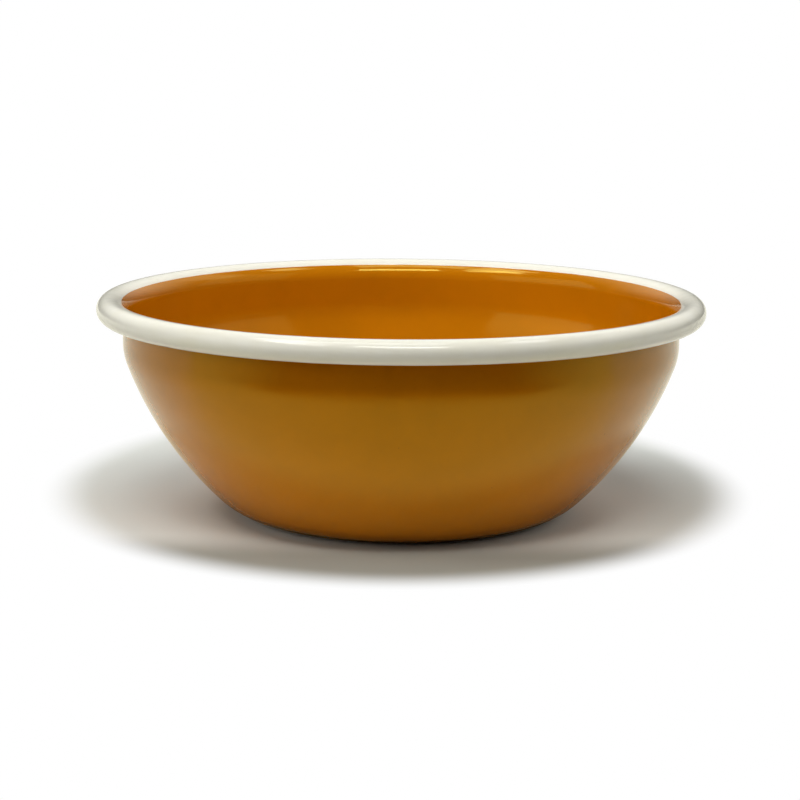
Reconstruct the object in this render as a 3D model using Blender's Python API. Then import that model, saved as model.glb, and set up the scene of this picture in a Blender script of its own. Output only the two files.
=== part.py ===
# Enamel pet bowl: a drawn steel bowl whose rim is rolled outwards into a hollow bead,
# with ochre enamel fired on inside and outside and a cream edging coat on the rim.
# Metres, +Z up. The origin is on the floor, under the middle of the bowl.

import math

import bpy

# Overall sizes, over the enamel
RIM_DIAMETER = 0.180
BOWL_HEIGHT = 0.0658
ROLL_DIAMETER = 0.0070
FOOT_DIAMETER = 0.077

# Radii of the outside face from the foot up, and the upright neck above them
KNUCKLE_RADIUS = 0.0235
WALL_RADIUS = 0.106
SHOULDER_RADIUS = 0.018
NECK_HEIGHT = 0.0072

# Mouth: above the neck the inside face leans out by this turn, on a radius that is
# larger than the roll's by the flare's room, and the cream edging covers its last part
FLARE_ROOM = 0.0026
FLARE_TURN = math.radians(90)
EDGING_TURN = math.radians(40)

# Base: a middle panel pushed up inside a flat foot ring
FOOT_RING_WIDTH = 0.009
PANEL_RISE = 0.001
PANEL_BEND_RADIUS = 0.006

# Sheet and coats
STEEL_THICKNESS = 0.0007
OUTER_ENAMEL_THICKNESS = 0.0003
INNER_ENAMEL_THICKNESS = 0.0003

# Clearances: a coat to what it covers or meets, and the roll's edge to the wall
COAT_GAP = 0.0003
ROLL_GAP = 0.0004

# Facets round the bowl, and along each bend of its section
TURN_STEPS = 44
PANEL_BEND_STEPS = 2
KNUCKLE_STEPS = 3
WALL_STEPS = 4
SHOULDER_STEPS = 3
FLARE_STEPS = 2
ROLL_STEPS = 11

# Finishes: colour, roughness, metallic
OCHRE = ((0.50, 0.165, 0.002, 1.0), 0.12, 0.0)
CREAM = ((0.84, 0.81, 0.70, 1.0), 0.15, 0.0)
STEEL = ((0.34, 0.34, 0.35, 1.0), 0.40, 1.0)

# Faces of the wall, each as its depth behind the bowl's outside face
OUTER_COAT_FACE = 0.0
OUTER_COAT_BACK = OUTER_COAT_FACE + OUTER_ENAMEL_THICKNESS
STEEL_OUTSIDE = OUTER_COAT_BACK + COAT_GAP
STEEL_INSIDE = STEEL_OUTSIDE + STEEL_THICKNESS
INNER_COAT_BACK = STEEL_INSIDE + COAT_GAP
INNER_COAT_FACE = INNER_COAT_BACK + INNER_ENAMEL_THICKNESS

# Points nearer to the bowl's axis than this lie on it
ON_AXIS = 1e-6


def wall_slopes(foot, neck_foot):
    # The long wall arc touches the knuckle's circle and the shoulder's circle from
    # outside. Its slopes at those two touching points follow from the three centres.
    knuckle_centre = (foot[0], foot[1] + KNUCKLE_RADIUS)
    shoulder_centre = (neck_foot[0] - SHOULDER_RADIUS, neck_foot[1])
    across = shoulder_centre[0] - knuckle_centre[0]
    up = shoulder_centre[1] - knuckle_centre[1]
    apart = math.hypot(across, up)
    to_knuckle = WALL_RADIUS - KNUCKLE_RADIUS
    to_shoulder = WALL_RADIUS - SHOULDER_RADIUS
    along = (apart**2 + to_knuckle**2 - to_shoulder**2) / (2 * apart)
    aside = math.sqrt(to_knuckle**2 - along**2)
    wall_centre = (
        knuckle_centre[0] + (along * across - aside * up) / apart,
        knuckle_centre[1] + (along * up + aside * across) / apart,
    )
    slopes = []
    for centre in (knuckle_centre, shoulder_centre):
        outwards = centre[0] - wall_centre[0]
        downwards = wall_centre[1] - centre[1]
        slopes.append(math.atan2(outwards, downwards))
    return slopes


def section_moves():
    # The outside face as a walk from the middle of the base to the edge of the roll.
    # A move is its name, its length or radius, its turn (left is positive, and a
    # straight move has none) and the facets along it.
    foot_radius = FOOT_DIAMETER / 2
    bend_turn = math.acos(1 - PANEL_RISE / (2 * PANEL_BEND_RADIUS))
    bend_width = 2 * PANEL_BEND_RADIUS * math.sin(bend_turn)
    panel_radius = foot_radius - FOOT_RING_WIDTH - bend_width

    # The roll's circle lies inside the flare's and touches it where the flare ends
    roll_radius = ROLL_DIAMETER / 2
    roll_centre = (RIM_DIAMETER / 2 - roll_radius, BOWL_HEIGHT - roll_radius)
    flare_radius = roll_radius + FLARE_ROOM
    flare_centre = (
        roll_centre[0] + FLARE_ROOM * math.cos(FLARE_TURN),
        roll_centre[1] - FLARE_ROOM * math.sin(FLARE_TURN),
    )
    flare_outside = flare_radius - INNER_COAT_FACE
    roll_outside = roll_radius - INNER_COAT_FACE
    neck_foot = (flare_centre[0] - flare_outside, flare_centre[1] - NECK_HEIGHT)
    knuckle_end, wall_end = wall_slopes((foot_radius, 0.0), neck_foot)

    # The roll goes round until its coat is back near the wall's outside face, and
    # the outside coat ends at that place on the flare
    edge_reach = flare_outside - ROLL_GAP
    left_open = math.acos(
        (edge_reach**2 - FLARE_ROOM**2 - roll_radius**2) / (2 * FLARE_ROOM * roll_radius)
    )
    roll_turn = 2 * math.pi - left_open
    bare_turn = math.acos(
        (edge_reach**2 + FLARE_ROOM**2 - roll_radius**2) / (2 * FLARE_ROOM * edge_reach)
    )
    seam_turn = COAT_GAP / flare_radius
    return [
        ("panel", panel_radius, 0.0, 1),
        ("panel_edge", PANEL_BEND_RADIUS, -bend_turn, PANEL_BEND_STEPS),
        ("panel_foot", PANEL_BEND_RADIUS, bend_turn, PANEL_BEND_STEPS),
        ("foot_ring", FOOT_RING_WIDTH, 0.0, 1),
        ("knuckle", KNUCKLE_RADIUS, knuckle_end, KNUCKLE_STEPS),
        ("wall", WALL_RADIUS, wall_end - knuckle_end, WALL_STEPS),
        ("shoulder", SHOULDER_RADIUS, math.pi / 2 - wall_end, SHOULDER_STEPS),
        ("neck", NECK_HEIGHT, 0.0, 1),
        ("neck_flare", flare_outside, bare_turn - FLARE_TURN, FLARE_STEPS),
        ("mouth_flare", flare_outside, EDGING_TURN + seam_turn - bare_turn, 1),
        ("seam", flare_outside, -seam_turn, 1),
        ("rim_flare", flare_outside, -EDGING_TURN, FLARE_STEPS),
        ("roll", roll_outside, -roll_turn, ROLL_STEPS),
    ]


def face_points(depth, first, last):
    # Points (radius, height) of the face at this depth, from one move to another
    points = []
    radius, height, slope = 0.0, PANEL_RISE + depth, 0.0
    for name, size, turn, steps in section_moves():
        if name == first:
            points = [(radius, height)]
        if turn:
            bend = math.copysign(size, turn) - depth
            centre = (radius - bend * math.sin(slope), height + bend * math.cos(slope))
            for step in range(1, steps + 1):
                along = slope + turn * step / steps
                radius = centre[0] + bend * math.sin(along)
                height = centre[1] - bend * math.cos(along)
                points.append((radius, height))
        else:
            radius += size * math.cos(slope)
            height += size * math.sin(slope)
            points.append((radius, height))
        slope += turn
        if name == last:
            break
    return points


def turned_piece(name, material, outside, inside, first, last, parent):
    # A wall between two depths, turned round the bowl's axis
    outline = face_points(inside, first, last) + face_points(outside, first, last)[::-1]
    edges = [(i, i + 1) for i in range(len(outline) - 1)]
    if outline[0][0] > ON_AXIS:
        edges.append((len(outline) - 1, 0))
    mesh = bpy.data.meshes.new(name)
    mesh.from_pydata([(radius, 0.0, height) for radius, height in outline], edges, [])
    mesh.materials.append(material)
    piece = bpy.data.objects.new(name, mesh)
    bpy.context.scene.collection.objects.link(piece)
    piece.parent = parent

    screw = piece.modifiers.new("turned", "SCREW")
    screw.axis = "Z"
    screw.angle = 2 * math.pi
    screw.steps = TURN_STEPS
    screw.render_steps = TURN_STEPS
    screw.use_merge_vertices = True
    screw.merge_threshold = ON_AXIS
    screw.use_smooth_shade = True
    return piece


def finish(name, look):
    colour, roughness, metallic = look
    material = bpy.data.materials.new(name)
    material.use_nodes = True
    shader = material.node_tree.nodes["Principled BSDF"]
    shader.inputs["Base Color"].default_value = colour
    shader.inputs["Roughness"].default_value = roughness
    shader.inputs["Metallic"].default_value = metallic
    material.diffuse_color = colour
    return material


def build_bowl():
    for old in list(bpy.data.objects):
        bpy.data.objects.remove(old)
    bowl = bpy.data.objects.new("pet_bowl", None)
    bpy.context.scene.collection.objects.link(bowl)

    # The pressing: base, wall and the rolled rim are one sheet of steel
    turned_piece(
        "steel_shell", finish("drawn_steel", STEEL),
        STEEL_OUTSIDE, STEEL_INSIDE, "panel", "roll", bowl,
    )
    # Ochre coat outside, from under the base up into the crevice below the roll
    turned_piece(
        "outer_enamel", finish("ochre_outside", OCHRE),
        OUTER_COAT_FACE, OUTER_COAT_BACK, "panel", "neck_flare", bowl,
    )
    # Ochre coat inside, from the base up on to the flare of the mouth
    turned_piece(
        "inner_enamel", finish("ochre_inside", OCHRE),
        INNER_COAT_BACK, INNER_COAT_FACE, "panel", "mouth_flare", bowl,
    )
    # Cream edging coat over the lip of the mouth and round the roll
    turned_piece(
        "rim_enamel", finish("cream_edging", CREAM),
        INNER_COAT_BACK, INNER_COAT_FACE, "rim_flare", "roll", bowl,
    )


build_bowl()
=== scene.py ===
import bmesh
import bpy
import math
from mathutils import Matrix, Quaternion, Vector


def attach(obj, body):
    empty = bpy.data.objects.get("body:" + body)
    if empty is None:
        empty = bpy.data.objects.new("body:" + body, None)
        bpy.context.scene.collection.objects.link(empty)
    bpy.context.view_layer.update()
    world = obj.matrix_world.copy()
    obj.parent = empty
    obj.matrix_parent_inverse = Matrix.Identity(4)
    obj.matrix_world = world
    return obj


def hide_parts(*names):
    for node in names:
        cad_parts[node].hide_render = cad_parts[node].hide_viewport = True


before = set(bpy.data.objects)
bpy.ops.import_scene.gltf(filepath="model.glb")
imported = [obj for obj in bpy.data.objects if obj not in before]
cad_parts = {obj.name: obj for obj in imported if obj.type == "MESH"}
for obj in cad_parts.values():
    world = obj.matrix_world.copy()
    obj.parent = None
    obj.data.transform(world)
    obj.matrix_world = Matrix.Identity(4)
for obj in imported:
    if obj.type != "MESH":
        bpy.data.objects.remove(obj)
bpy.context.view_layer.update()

scene = bpy.context.scene
print("frame loaded:", ", ".join(sorted(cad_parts)))

samePoint = 1e-6                    # points nearer to each other than this are one
levelPart = (1.0, 1.0, 0.0)         # times a direction, this leaves its level part
pureWhite = (1.0, 1.0, 1.0, 1.0)
pureBlack = (0.0, 0.0, 0.0, 1.0)


# values and nodes

class Value:
    # a socket that can be written into sums
    def __init__(self, tree, socket):
        self.tree = tree
        self.socket = socket

    def sum(self, operation, other, flip=False):
        first, second = (other, self) if flip else (self, other)
        return self.tree.add("ShaderNodeMath", {"operation": operation}, {0: first, 1: second})

    def __add__(self, other):
        return self.sum("ADD", other)

    def __radd__(self, other):
        return self.sum("ADD", other, True)

    def __sub__(self, other):
        return self.sum("SUBTRACT", other)

    def __rsub__(self, other):
        return self.sum("SUBTRACT", other, True)

    def __mul__(self, other):
        return self.sum("MULTIPLY", other)

    def __rmul__(self, other):
        return self.sum("MULTIPLY", other, True)

    def __truediv__(self, other):
        return self.sum("DIVIDE", other)

    def __rtruediv__(self, other):
        return self.sum("DIVIDE", other, True)


class Tree:
    # any node tree, of a finish, the world or a shape
    def __init__(self, nodeTree):
        self.nodeTree = nodeTree

    def add(self, kind, settings=None, sockets=None, out=0):
        node = self.nodeTree.nodes.new(kind)
        for name, value in (settings or {}).items():
            setattr(node, name, value)
        for name, value in (sockets or {}).items():
            self.feed(node.inputs[name], value)
        return Value(self, node.outputs[out]) if len(node.outputs) else node

    def feed(self, socket, value):
        if isinstance(value, Value):
            self.nodeTree.links.new(value.socket, socket)
        else:
            socket.default_value = value

    def twin(self, value, out):
        # another output of the node that gave a value
        return Value(self, value.socket.node.outputs[out])

    def rise(self, value, low, high):
        # 0 below low, 1 above high, smooth between them
        return self.add(
            "ShaderNodeMapRange", {"interpolation_type": "SMOOTHSTEP"},
            {"Value": value, "From Min": low, "From Max": high},
        )

    def vector(self, operation, first, second):
        return self.add("ShaderNodeVectorMath", {"operation": operation}, {0: first, 1: second})

    def length(self, vector):
        return self.add("ShaderNodeVectorMath", {"operation": "LENGTH"}, {0: vector}, "Value")

    def blendColours(self, share, first, second, mode="MIX"):
        return self.add(
            "ShaderNodeMix", {"data_type": "RGBA", "blend_type": mode},
            {"Factor": share, 6: first, 7: second}, out=2,
        )

    def blendShaders(self, share, first, second):
        return self.add("ShaderNodeMixShader", sockets={0: share, 1: first, 2: second})

    def noise(self, where, size, detail, roughness=0.5):
        return self.add(
            "ShaderNodeTexNoise",
            sockets={"Vector": where, "Scale": 1.0 / size, "Detail": detail, "Roughness": roughness},
        )

    def rays(self):
        # 1 where the camera looks straight at a thing, and 1 where it is mirrored
        seen = self.add("ShaderNodeLightPath", out="Is Camera Ray")
        return seen, self.twin(seen, "Is Glossy Ray") + self.twin(seen, "Is Transmission Ray")


def newFinish(name):
    material = bpy.data.materials.new(name)
    material.use_nodes = True
    shader = material.node_tree.nodes["Principled BSDF"]
    return material, Tree(material.node_tree), shader


# section of the bowl

bowlForm = {
    "rimDiameter": 0.180,
    "height": 0.0658,
    "rollDiameter": 0.0070,
    "footDiameter": 0.077,
    "knuckleRadius": 0.0235,
    "wallRadius": 0.106,
    "shoulderRadius": 0.018,
    "neckHeight": 0.0072,
    "flareRoom": 0.0026,            # the flare's radius is this much larger than the roll's
    "flareTurn": math.radians(90),
    "edgingTurn": math.radians(38.5),
    "lapTurn": math.radians(3),     # where the cream's edge runs out over the ochre
    "footRing": 0.009,
    "panelRise": 0.001,
    "panelBend": 0.006,
    "wall": 0.0019,                 # outside face to inside face
    "coat": 0.0003,
    "rollGap": 0.0004,
    "finestTurn": math.radians(3.0),
    "finestStep": 0.0018,
    "fewestSteps": 4,               # along any stretch of the section
    "edgeSteps": 6,                 # round the edge of a coat
}


def wallSlopes(form, foot, neckFoot):
    # slopes where the long wall arc leaves the knuckle and meets the shoulder
    knuckle = (foot[0], foot[1] + form["knuckleRadius"])
    shoulder = (neckFoot[0] - form["shoulderRadius"], neckFoot[1])
    across, up = shoulder[0] - knuckle[0], shoulder[1] - knuckle[1]
    apart = math.hypot(across, up)
    toKnuckle = form["wallRadius"] - form["knuckleRadius"]
    toShoulder = form["wallRadius"] - form["shoulderRadius"]
    along = (apart**2 + toKnuckle**2 - toShoulder**2) / (2 * apart)
    aside = math.sqrt(toKnuckle**2 - along**2)
    wall = (
        knuckle[0] + (along * across - aside * up) / apart,
        knuckle[1] + (along * up + aside * across) / apart,
    )
    return [math.atan2(c[0] - wall[0], wall[1] - c[1]) for c in (knuckle, shoulder)]


def sectionMoves(form):
    # the outside face from the middle of the base to the edge of the roll: each stretch with
    # its length or radius, and its turn
    foot = form["footDiameter"] / 2
    bend = math.acos(1 - form["panelRise"] / (2 * form["panelBend"]))
    panel = foot - form["footRing"] - 2 * form["panelBend"] * math.sin(bend)
    roll = form["rollDiameter"] / 2
    rollCentre = (form["rimDiameter"] / 2 - roll, form["height"] - roll)
    apart = form["flareRoom"]
    flareCentre = (
        rollCentre[0] + apart * math.cos(form["flareTurn"]),
        rollCentre[1] - apart * math.sin(form["flareTurn"]),
    )
    flare = roll + apart - form["wall"]
    neckFoot = (flareCentre[0] - flare, flareCentre[1] - form["neckHeight"])
    knuckleEnd, wallEnd = wallSlopes(form, (foot, 0.0), neckFoot)
    reach = flare - form["rollGap"]
    leftOpen = math.acos((reach**2 - apart**2 - roll**2) / (2 * apart * roll))
    bare = math.acos((reach**2 + apart**2 - roll**2) / (2 * apart * reach))
    edging, lap = form["edgingTurn"], form["lapTurn"]
    return [
        ("panel", panel, 0.0),
        ("panelEdge", form["panelBend"], -bend),
        ("panelFoot", form["panelBend"], bend),
        ("footRing", form["footRing"], 0.0),
        ("knuckle", form["knuckleRadius"], knuckleEnd),
        ("wall", form["wallRadius"], wallEnd - knuckleEnd),
        ("shoulder", form["shoulderRadius"], math.pi / 2 - wallEnd),
        ("neck", form["neckHeight"], 0.0),
        ("neckFlare", flare, bare - form["flareTurn"]),
        ("mouthFlare", flare, edging + lap - bare),
        ("lap", flare, -lap),
        ("rimFlare", flare, -edging),
        ("roll", roll - form["wall"], leftOpen - 2 * math.pi),
    ]


def sectionStretches(form):
    # stations (stretch, share of it, radius, height, slope) along each stretch
    stretches = {}
    radius, height, slope = 0.0, form["panelRise"], 0.0
    for name, size, turn in sectionMoves(form):
        length = size * abs(turn) if turn else size
        steps = max(
            math.ceil(length / form["finestStep"]),
            math.ceil(abs(turn) / form["finestTurn"]),
            form["fewestSteps"],
        )
        stations = []
        for step in range(steps + 1):
            share = step / steps
            now = slope + turn * share
            if turn:
                bent = math.copysign(size, turn)
                place = (
                    radius + bent * (math.sin(now) - math.sin(slope)),
                    height + bent * (math.cos(slope) - math.cos(now)),
                )
            else:
                place = (
                    radius + size * share * math.cos(slope),
                    height + size * share * math.sin(slope),
                )
            stations.append((name, share, *place, now))
        radius, height, slope = stations[-1][2:]
        stretches[name] = stations
    return stretches


stretches = sectionStretches(bowlForm)
print("section stations:", sum(len(stations) for stations in stretches.values()))


def stretch(*names):
    return [station for name in names for station in stretches[name]]


def behind(station, depth, ahead=0.0):
    # the point at a depth behind the outside face, moved ahead along the slope
    radius, height, slope = station[2:]
    return (
        radius - depth * math.sin(slope) + ahead * math.cos(slope),
        height + depth * math.cos(slope) + ahead * math.sin(slope),
    )


def coatEdge(station, sign, fromDepth, toDepth):
    # half-round, from one depth to the other
    middle, half = (fromDepth + toDepth) / 2, (fromDepth - toDepth) / 2
    points = []
    for step in range(1, bowlForm["edgeSteps"]):
        angle = math.pi * step / bowlForm["edgeSteps"]
        bulge = sign * abs(half) * math.sin(angle)
        points.append(behind(station, middle + half * math.cos(angle), bulge))
    return points


def isRing(outline):
    # an outline that starts on the bowl's axis stays open there
    return outline[0][0] > samePoint


def coatOutline(stations, faceDepth, backDepth):
    # one coat's outline: along its face, round its edge and back along its other side
    face = [behind(s, faceDepth(s)) for s in stations]
    back = [behind(s, backDepth(s)) for s in stations]
    first, last = stations[0], stations[-1]
    outline = face + coatEdge(last, 1, faceDepth(last), backDepth(last)) + back[::-1]
    if isRing(outline):
        outline += coatEdge(first, -1, backDepth(first), faceDepth(first))
    kept = [outline[0]]
    for point in outline[1:]:
        if math.dist(point, kept[-1]) > samePoint:
            kept.append(point)
    if isRing(kept) and math.dist(kept[0], kept[-1]) < samePoint:
        kept.pop()
    return kept


# a coat turned round the bowl

coatSockets = {
    "outline": "NodeSocketGeometry",
    "turnSteps": "NodeSocketInt",
    "hubRadius": "NodeSocketFloat",
    "waveHeight": "NodeSocketFloat",
    "waveSize": "NodeSocketFloat",
    "skinHeight": "NodeSocketFloat",
    "skinSize": "NodeSocketFloat",
    "seed": "NodeSocketFloat",
    "finish": "NodeSocketMaterial",
}


def turnedCoatTree():
    group = bpy.data.node_groups.new("turnedCoat", "GeometryNodeTree")
    for name, kind in coatSockets.items():
        group.interface.new_socket(name, in_out="INPUT", socket_type=kind)
    group.interface.new_socket("coat", in_out="OUTPUT", socket_type="NodeSocketGeometry")
    tree = Tree(group)
    given = tree.add("NodeGroupInput")
    want = {name: tree.twin(given, name) for name in coatSockets}

    outline = tree.add("GeometryNodeMeshToCurve", sockets={"Mesh": want["outline"]})
    turn = tree.add(
        "GeometryNodeCurvePrimitiveCircle", {"mode": "RADIUS"},
        {"Resolution": want["turnSteps"], "Radius": want["hubRadius"]},
    )
    coat = tree.add("GeometryNodeCurveToMesh", sockets={"Curve": turn, "Profile Curve": outline})
    coat = tree.add("GeometryNodeMergeByDistance", sockets={"Geometry": coat, "Distance": 2 * samePoint})

    # slow waves of the pressed wall go in and out, the skin's own unevenness along its normal
    where = tree.add("GeometryNodeInputPosition")
    flat = tree.vector("MULTIPLY", where, levelPart)
    outwards = tree.add("ShaderNodeVectorMath", {"operation": "NORMALIZE"}, {0: flat})
    normal = tree.add("GeometryNodeInputNormal")

    def uneven(direction, height, size, seed):
        rough = tree.add(
            "ShaderNodeTexNoise", {"noise_dimensions": "4D"},
            {"Vector": where, "W": seed, "Scale": 1.0 / size, "Detail": 1.0},
        )
        return tree.add(
            "ShaderNodeVectorMath", {"operation": "SCALE"},
            {0: direction, "Scale": (rough - 0.5) * 2.0 * height},
        )

    wave = uneven(outwards, want["waveHeight"], want["waveSize"], 0.0)
    skin = uneven(normal, want["skinHeight"], want["skinSize"], want["seed"])
    moved = tree.vector("ADD", wave, skin)
    coat = tree.add("GeometryNodeSetPosition", sockets={"Geometry": coat, "Offset": moved})
    coat = tree.add("GeometryNodeSetShadeSmooth", sockets={"Geometry": coat})
    coat = tree.add("GeometryNodeRealizeInstances", sockets={"Geometry": coat})
    coat = tree.add("GeometryNodeSetMaterial", sockets={"Geometry": coat, "Material": want["finish"]})
    tree.add("NodeGroupOutput", sockets={"coat": coat})
    return group


coatTree = turnedCoatTree()


def turnCoat(name, outline, sizes, finish):
    # the outline lies in the tree's profile plane: out from the hub, and down
    points = [(radius - sizes["hubRadius"], -height, 0.0) for radius, height in outline]
    edges = [(i, i + 1) for i in range(len(points) - 1)]
    if isRing(outline):
        edges.append((len(points) - 1, 0))
    mesh = bpy.data.meshes.new(name + "Outline")
    mesh.from_pydata(points, edges, [])
    piece = bpy.data.objects.new(name, mesh)
    scene.collection.objects.link(piece)
    turned = piece.modifiers.new("turned", "NODES")
    turned.node_group = coatTree
    inputs = sizes | {"finish": finish}
    for socket in coatTree.interface.items_tree:
        if socket.in_out == "INPUT" and socket.name in inputs:
            turned[socket.identifier] = inputs[socket.name]
    evaluated = piece.evaluated_get(bpy.context.evaluated_depsgraph_get())
    solid = bpy.data.meshes.new_from_object(evaluated)
    piece.modifiers.remove(turned)
    piece.data = solid
    solid.name = name
    bpy.data.meshes.remove(mesh)

    # closed and facing outwards
    work = bmesh.new()
    work.from_mesh(solid)
    bmesh.ops.remove_doubles(work, verts=work.verts, dist=samePoint)
    bmesh.ops.recalc_face_normals(work, faces=work.faces)
    if work.calc_volume(signed=True) < 0:
        bmesh.ops.reverse_faces(work, faces=work.faces)
    openEdges = sum(not edge.is_manifold for edge in work.edges)
    for polygon in work.faces:
        polygon.smooth = True
    work.to_mesh(solid)
    work.free()
    solid.update()
    print(f"{name}: {len(solid.polygons)} faces, {openEdges} open edges")
    return piece


# finishes

def speckles(tree, where, look):
    # round specks: one at most in each cell, and only in a share of the cells
    cellSize, share = look["speckCell"], look["speckShare"]
    core = 0.6                      # share of a speck's radius that has its full tone
    step = 0.01                     # how sharply a cell is in or out
    cell = tree.add("ShaderNodeTexVoronoi", sockets={"Vector": where, "Scale": 1.0 / cellSize})
    drawn = tree.add("ShaderNodeSeparateColor", sockets={"Color": tree.twin(cell, "Color")})
    radius = look["speckRadius"] / cellSize
    dots = 1.0 - tree.rise(cell, core * radius, radius)
    return dots * tree.rise(drawn, 1.0 - share, 1.0 - share + step)


def enamel(name, look, wear=None):
    material, tree, shader = newFinish(name)
    where = tree.add("ShaderNodeTexCoord", out="Object")

    # slow drifts of tone, the grain of the fired glaze, and a few specks
    drift = tree.rise(tree.noise(where, *look["drift"]), *look["driftSpan"])
    grain = tree.noise(where, *look["grain"]) - 0.5
    share = drift * look["driftShare"] + grain * look["grainShare"]
    colour = tree.blendColours(share, look["main"], look["deep"])
    specks = speckles(tree, where, look) * look["speckDepth"]
    colour = tree.blendColours(specks, colour, look["speck"])
    rough = look["roughness"] + tree.noise(where, *look["cloud"]) * look["cloudShare"]
    if wear:
        place = tree.add("ShaderNodeSeparateXYZ", sockets={"Vector": where})
        standing = 1.0 - tree.rise(tree.twin(place, "Z"), *wear["height"])
        rubbed = standing * tree.rise(tree.noise(where, *wear["scuff"]), *wear["scuffSpan"])
        rough = rough + rubbed * wear["roughShare"]
        colour = tree.blendColours(rubbed * wear["toneShare"], colour, wear["tone"])
    tree.feed(shader.inputs["Base Color"], colour)
    tree.feed(shader.inputs["Roughness"], rough)

    # orange peel
    peel = tree.noise(where, *look["widePeel"]) * look["widePeelShare"]
    peel = tree.noise(where, *look["finePeel"]) + peel
    bump = tree.add(
        "ShaderNodeBump",
        sockets={"Strength": look["peelStrength"], "Distance": look["peelDepth"], "Height": peel},
    )
    tree.feed(shader.inputs["Normal"], bump)
    shader.inputs["IOR"].default_value = look["glassIndex"]
    shader.inputs["Specular Tint"].default_value = look["gloss"]
    return material


# the ochre of both sides; a pattern is given by its size and its detail
ochreLook = {
    "speck": (0.10, 0.045, 0.006, 1.0),
    "gloss": (1.0, 1.0, 0.20, 1.0),  # what it mirrors turns golden
    "glassIndex": 1.52,
    "drift": (0.021, 3.0),
    "driftSpan": (0.30, 0.72),
    "driftShare": 0.8,
    "grain": (0.0011, 2.0),
    "grainShare": 0.25,
    "speckCell": 0.0065,
    "speckRadius": 0.00022,
    "speckShare": 0.18,
    "speckDepth": 0.7,
    "roughness": 0.06,
    "cloud": (0.0085, 3.0),
    "cloudShare": 0.05,
    "finePeel": (0.0032, 1.0),
    "widePeel": (0.0105, 1.0),
    "widePeelShare": 2.0,
    "peelStrength": 0.10,
    "peelDepth": 0.00022,
}

# the foot ring is rubbed where it stands
footWear = {
    "height": (0.00005, 0.0005),
    "scuff": (0.0016, 4.0, 0.7),
    "scuffSpan": (0.38, 0.62),
    "roughShare": 0.32,
    "tone": (0.33, 0.16, 0.03, 1.0),
    "toneShare": 0.45,
}

steelLook = {
    "light": (0.42, 0.41, 0.40, 1.0),
    "dark": (0.25, 0.245, 0.24, 1.0),
    "pull": (1.0, 1.0, 0.08),       # the streaks are drawn out upwards
    "streak": (0.0012, 3.0, 0.6),
    "streakSpan": (0.3, 0.7),
    "roughness": 0.34,
    "streakShare": 0.16,
}


def drawnSteel(name):
    material, tree, shader = newFinish(name)
    where = tree.add("ShaderNodeTexCoord", out="Object")
    pulled = tree.add("ShaderNodeMapping", sockets={"Vector": where, "Scale": steelLook["pull"]})
    streak = tree.noise(pulled, *steelLook["streak"])
    share = tree.rise(streak, *steelLook["streakSpan"])
    colour = tree.blendColours(share, steelLook["light"], steelLook["dark"])
    tree.feed(shader.inputs["Base Color"], colour)
    tree.feed(shader.inputs["Roughness"], steelLook["roughness"] + streak * steelLook["streakShare"])
    shader.inputs["Metallic"].default_value = 1.0
    return material


# pieces

coatTurning = {"hubRadius": 0.02, "waveHeight": 0.00006, "waveSize": 0.034}
lowerWall = (
    "panel", "panelEdge", "panelFoot", "footRing", "knuckle",
    "wall", "shoulder", "neck", "neckFlare",
)


def coatBack(station):
    # the steel's side of both coats that lie inside
    return bowlForm["wall"] - bowlForm["coat"]


outsideCoat = {
    "turnSteps": 208, "skinHeight": 0.0, "skinSize": 0.006, "seed": 1.0,
    # painted shade: the outside's ochre is a darker copy of the inside's, the same enamel
    "main": (0.495, 0.153, 0.0015, 1.0),
    "deep": (0.443, 0.137, 0.0012, 1.0),
}
outside = turnCoat(
    "ochreOutside",
    coatOutline(stretch(*lowerWall), lambda s: 0.0, lambda s: bowlForm["coat"]),
    coatTurning | outsideCoat,
    enamel("ochreOutside", ochreLook | outsideCoat, footWear),
)

insideCoat = {
    "turnSteps": 208, "skinHeight": 0.0, "skinSize": 0.006, "seed": 2.0,
    "setBack": 0.00005,             # how far its face lies behind the cream's
    # painted light: the inside's ochre is a lighter copy of the outside's, the same enamel
    "main": (0.585, 0.197, 0.0012, 1.0),
    "deep": (0.527, 0.177, 0.0010, 1.0),
}
inside = turnCoat(
    "ochreInside",
    coatOutline(
        stretch(*lowerWall, "mouthFlare", "lap"),
        lambda s: bowlForm["wall"] - insideCoat["setBack"], coatBack,
    ),
    coatTurning | insideCoat,
    enamel("ochreInside", ochreLook | insideCoat),
)

creamCoat = {
    "turnSteps": 384, "skinHeight": 0.000028, "skinSize": 0.0048, "seed": 3.0,
    "lapDepth": 0.00012,            # how far its thin edge starts below its face
    "main": (0.93, 0.915, 0.825, 1.0),
    "deep": (0.90, 0.875, 0.755, 1.0),
    "speck": (0.30, 0.22, 0.10, 1.0),
    "gloss": pureWhite,
    "glassIndex": 1.52,
    "drift": (0.009, 3.0),
    "driftSpan": (0.35, 0.75),
    "driftShare": 0.7,
    "grain": (0.0009, 2.0),
    "grainShare": 0.3,
    "speckCell": 0.005,
    "speckRadius": 0.00018,
    "speckShare": 0.12,
    "speckDepth": 0.55,
    "roughness": 0.10,
    "cloud": (0.004, 3.0),
    "cloudShare": 0.06,
    "finePeel": (0.0026, 1.0),
    "widePeel": (0.007, 1.0),
    "widePeelShare": 1.6,
    "peelStrength": 0.14,
    "peelDepth": 0.0002,
}


def creamFace(station):
    # the edge comes out of the ochre in a thin wedge
    if station[0] == "lap":
        return bowlForm["wall"] - creamCoat["lapDepth"] * (1 - station[1]) ** 2
    return bowlForm["wall"]


rim = turnCoat(
    "creamRim",
    coatOutline(stretch("lap", "rimFlare", "roll"), creamFace, coatBack),
    coatTurning | creamCoat,
    enamel("creamRim", creamCoat),
)

for piece, node, slot in (
    (outside, "outer_enamel", "ochre_enamel"),
    (inside, "inner_enamel", "ochre_enamel"),
    (rim, "rim_enamel", "cream_enamel"),
):
    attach(piece, "root")
    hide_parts(node)

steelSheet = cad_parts["steel_shell"]
steelSheet.data.materials.clear()
steelSheet.data.materials.append(drawnSteel("drawnSteel"))
print("pieces in place")


# studio

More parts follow.
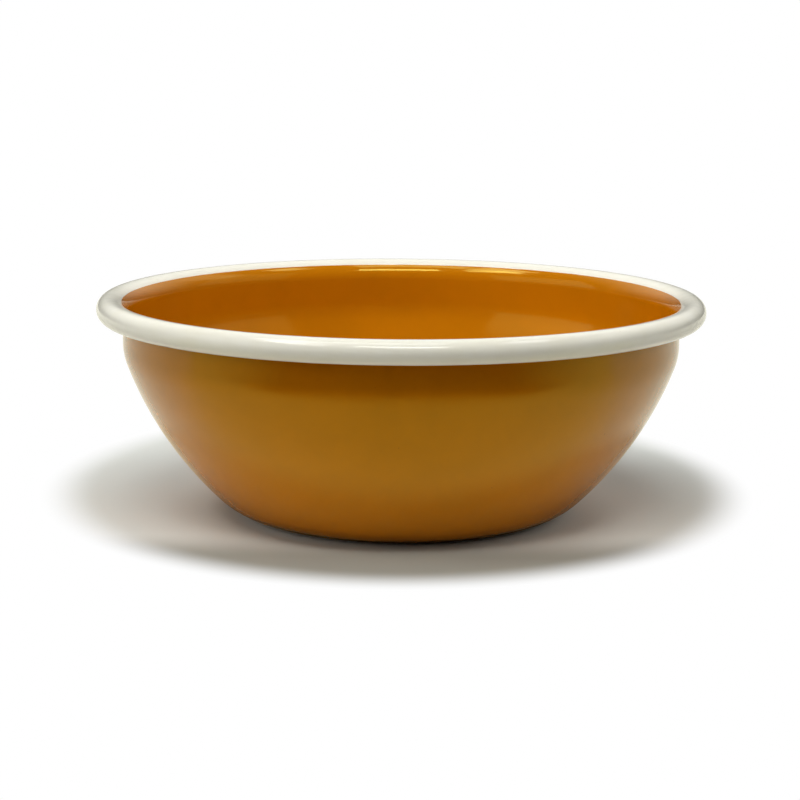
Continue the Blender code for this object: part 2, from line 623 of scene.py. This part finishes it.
floorLook = {
    "size": 4.0,
    "drop": 0.00005,
    "shown": (0.77, 0.80, 0.785, 1.0),      # as the camera sees it near the bowl: painted shade, greyer than the board, over the bowl's real shadow
    # painted shadow: in front of the bowl the camera sees the floor darker still
    "paintedShadowFront": (0.37, 0.375, 0.345, 1.0),
    "paintedShadowEdge": (0.030, 0.060),            # how far ahead the floor passes into its painted shadow in front
    "front": (0.005, 0.065),                # how far ahead it counts as front for the glaze
    "board": (0.95, 0.935, 0.90, 1.0),      # as it lights the bowl
    "mirrored": (1.0, 0.985, 0.82, 1.0),    # as the glaze mirrors it, painted warm light from the bowl
    "mirroredFront": (1.0, 0.985, 0.45, 1.0),
    "paintedShadeFoot": (0.045, 0.085),            # nearer than this, painted shade under the bowl darkens it
    "paintedShadeFootShare": 0.40,                      # to this share of its light
    "boardEdge": (0.11, 0.20),              # past this it gives little light back
    "roomShare": 0.03,                      # this share
    "shadowMiddle": (-0.001, 0.040, 0.0),   # the oval that the shadow lies in
    "shadowReach": (0.1084, 0.134, 1.0),
    "plainWhite": (0.86, 1.03),             # past it, in ovals, is the background's white
    "mirrorRound": (0.75, 1.0, 0.0),        # the place is scaled by this for the next one
    "mirrorNear": (0.060, 0.076),           # in front of the bowl its mirrored white, a painted reflection of glowing floor over the bowl's shadow, starts here
    "mirrorFar": (0.090, 0.140),            # and ends here
    "mirrorSide": (0.60, 1.05),             # but less so to the sides
}


def whiteFloor():
    half = floorLook["size"] / 2
    corners = [(-half, -half), (half, -half), (half, half), (-half, half)]
    mesh = bpy.data.meshes.new("floor")
    mesh.from_pydata([(x, y, -floorLook["drop"]) for x, y in corners], [], [(0, 1, 2, 3)])
    floor = bpy.data.objects.new("floor", mesh)
    scene.collection.objects.link(floor)
    material, tree, shader = newFinish("whiteFloor")
    mesh.materials.append(material)

    where = tree.add("ShaderNodeTexCoord", out="Object")
    across = tree.add("ShaderNodeSeparateXYZ", sockets={"Vector": where})
    ahead = 0.0 - tree.twin(across, "Y")
    away = tree.length(where)
    sideways = tree.add("ShaderNodeMath", {"operation": "ABSOLUTE"}, {0: across / away})
    nearFront = tree.rise(ahead, *floorLook["front"])
    seen, mirrored = tree.rays()

    # its colour near the bowl: what lights and what is mirrored, and what the camera sees, with painted
    # shade
    bounced = 1.0 - tree.rise(away, *floorLook["boardEdge"]) * (1.0 - floorLook["roomShare"])
    # painted shade: near the foot the floor's colour is darkened, both as it lights the bowl and as it
    # is mirrored
    paintedShadeUnderBowl = 1.0 - tree.rise(away, *floorLook["paintedShadeFoot"])
    bounced = bounced - paintedShadeUnderBowl * (1.0 - floorLook["paintedShadeFootShare"])
    board = tree.blendColours(bounced, pureBlack, floorLook["board"])
    # painted warm light: the floor as the glaze mirrors it is tinted as if lit by the bowl, more so in
    # front
    warm = tree.blendColours(nearFront, floorLook["mirrored"], floorLook["mirroredFront"])
    board = tree.blendColours(mirrored, board, warm, "MULTIPLY")
    # painted shadow: ahead of the bowl the camera's floor colour darkens towards the front shade
    paintedShadowShare = tree.rise(ahead, *floorLook["paintedShadowEdge"])
    shown = tree.blendColours(paintedShadowShare, floorLook["shown"], floorLook["paintedShadowFront"])
    tree.feed(shader.inputs["Base Color"], tree.blendColours(seen, board, shown))
    shader.inputs["Roughness"].default_value = 1.0
    shader.inputs["Specular IOR Level"].default_value = 0.0

    # outside an oval round the shadow it is plain white, and mirrored so from nearer in front, a painted
    # reflection over the shadow there
    oval = tree.vector("SUBTRACT", where, floorLook["shadowMiddle"])
    oval = tree.length(tree.vector("DIVIDE", oval, floorLook["shadowReach"]))
    past = tree.rise(oval, *floorLook["plainWhite"])
    apart = tree.length(tree.vector("MULTIPLY", where, floorLook["mirrorRound"]))
    ringed = tree.rise(apart, *floorLook["mirrorNear"]) * nearFront
    nearer = past + (1.0 - past) * ringed
    toFront = 1.0 - tree.rise(sideways, *floorLook["mirrorSide"])
    ended = tree.rise(ahead, *floorLook["mirrorFar"]) * toFront
    plain = seen * past + mirrored * nearer * (1.0 - ended)

    def glow(colour):
        return tree.add("ShaderNodeEmission", sockets={"Color": colour, "Strength": 1.0})

    # the glowing floor that the glaze mirrors carries the painted warm light
    warmBack, warmFront = glow(floorLook["mirrored"]), glow(floorLook["mirroredFront"])
    white = tree.blendShaders(seen, tree.blendShaders(nearFront, warmBack, warmFront), glow(pureWhite))
    whole = tree.blendShaders(plain, Value(tree, shader.outputs["BSDF"]), white)
    tree.feed(material.node_tree.nodes["Material Output"].inputs["Surface"], whole)


# the room's bright panels: azimuth from the camera's side (left is below zero) and spread in
# degrees, the heights of the direction where each starts and ends, how bright it is, and how
# much of that the glaze mirrors
roomPanels = {
    "leftWall": {
        "azimuth": -69, "spread": (24, 28), "foot": (0.12, 0.17), "top": (0.52, 0.60),
        "level": 2.3, "mirrored": 0.35,
    },
    "rightWall": {
        "azimuth": 78, "spread": (22, 26), "foot": (0.20, 0.26), "top": (0.66, 0.72),
        "level": 1.5, "mirrored": 0.30,
    },
    "backWall": {
        "azimuth": 135, "spread": (36, 50), "foot": (0.52, 0.58), "top": (0.70, 0.76),
        "level": 1.2, "mirrored": 1.0,
    },
    "frontMiddle": {
        "azimuth": 1, "spread": (21, 25), "foot": (0.74, 0.79), "top": (0.83, 0.89),
        "level": 12.0, "mirrored": 1.0,
    },
    "frontLeft": {
        "azimuth": -57, "spread": (16, 20), "foot": (0.74, 0.79), "top": (0.83, 0.89),
        "level": 8.8, "mirrored": 1.0,
    },
}
roomLook = {
    "tint": (1.0, 0.99, 0.93, 1.0),
    "walls": 0.05,
    "ceiling": 0.08,                # added to the walls' level, higher than its foot
    "ceilingFoot": (0.45, 0.75),
    "behind": (0.10, 0.70),         # where the white background stands as the bowl mirrors it
    "horizon": (0.04, 0.45),
}


def softWorld():
    world = bpy.data.worlds.new("studio")
    world.use_nodes = True
    scene.world = world
    tree = Tree(world.node_tree)
    where = tree.add("ShaderNodeTexCoord", out="Generated")
    across = tree.add("ShaderNodeSeparateXYZ", sockets={"Vector": where})
    back, up = tree.twin(across, "Y"), tree.twin(across, "Z")
    levelLength = tree.length(tree.vector("MULTIPLY", where, levelPart))
    seen, mirrored = tree.rays()

    room = roomLook["walls"] + tree.rise(up, *roomLook["ceilingFoot"]) * roomLook["ceiling"]
    for panel in roomPanels.values():
        azimuth = math.radians(panel["azimuth"])
        full, none = (math.cos(math.radians(angle)) for angle in panel["spread"])
        facing = (across * math.sin(azimuth) - back * math.cos(azimuth)) / levelLength
        tall = tree.rise(up, *panel["foot"]) * (1.0 - tree.rise(up, *panel["top"]))
        dimmed = (1.0 - mirrored * (1.0 - panel["mirrored"])) * panel["level"]
        room = room + tree.rise(facing, none, full) * tall * dimmed

    # the white background, also as the bowl mirrors it
    behindBowl = tree.rise(back, *roomLook["behind"]) * tree.rise(up, *roomLook["horizon"])
    backdrop = seen + mirrored * behindBowl
    light = world.node_tree.nodes["Background"]
    tree.feed(light.inputs["Color"], tree.blendColours(seen, roomLook["tint"], pureWhite))
    tree.feed(light.inputs["Strength"], backdrop + (1.0 - backdrop) * room)


lamps = {
    "ceiling": {"x": (-0.40, 0.26), "y": (-0.30, 0.04), "height": 1.5, "level": 3.8},
    "left": {"x": (-0.90, -0.46), "y": (-0.42, 0.18), "height": 1.5, "level": 5.0},
    "right": {"x": (0.61, 0.90), "y": (-0.20, 0.20), "height": 1.5, "level": 4.6},
}


def softLamp(name, form):
    # a panel that faces straight down, as bright all over as its level
    width, depth = form["x"][1] - form["x"][0], form["y"][1] - form["y"][0]
    lamp = bpy.data.lights.new(name, "AREA")
    lamp.shape = "RECTANGLE"
    lamp.size, lamp.size_y = width, depth
    lamp.energy = form["level"] * width * depth * math.pi
    holder = bpy.data.objects.new(name, lamp)
    scene.collection.objects.link(holder)
    holder.location = (sum(form["x"]) / 2, sum(form["y"]) / 2, form["height"])


cameraPlace = {
    "elevation": math.radians(10.087),
    "roll": math.radians(0.406),
    "distance": 0.810,
    "aimAside": -0.000183,
    "aimHeight": 0.034138,
    "lens": 122.10,
    "sensor": 36.0,
    "nearest": 0.01,
}


def placeCamera():
    lens = bpy.data.cameras.new("camera")
    lens.sensor_width = cameraPlace["sensor"]
    lens.lens = cameraPlace["lens"]
    lens.clip_start = cameraPlace["nearest"]
    viewer = bpy.data.objects.new("camera", lens)
    scene.collection.objects.link(viewer)
    elevation = cameraPlace["elevation"]
    towards = Vector((0.0, -math.cos(elevation), math.sin(elevation)))
    aim = Vector((cameraPlace["aimAside"], 0.0, cameraPlace["aimHeight"]))
    viewer.location = aim + towards * cameraPlace["distance"]
    viewer.rotation_mode = "QUATERNION"
    upright = (-towards).to_track_quat("-Z", "Y")
    viewer.rotation_quaternion = upright @ Quaternion((0, 0, 1), cameraPlace["roll"])
    scene.camera = viewer


whiteFloor()
softWorld()
for name, form in lamps.items():
    softLamp(name, form)
placeCamera()
scene.view_settings.view_transform = "Standard"
print("studio ready")
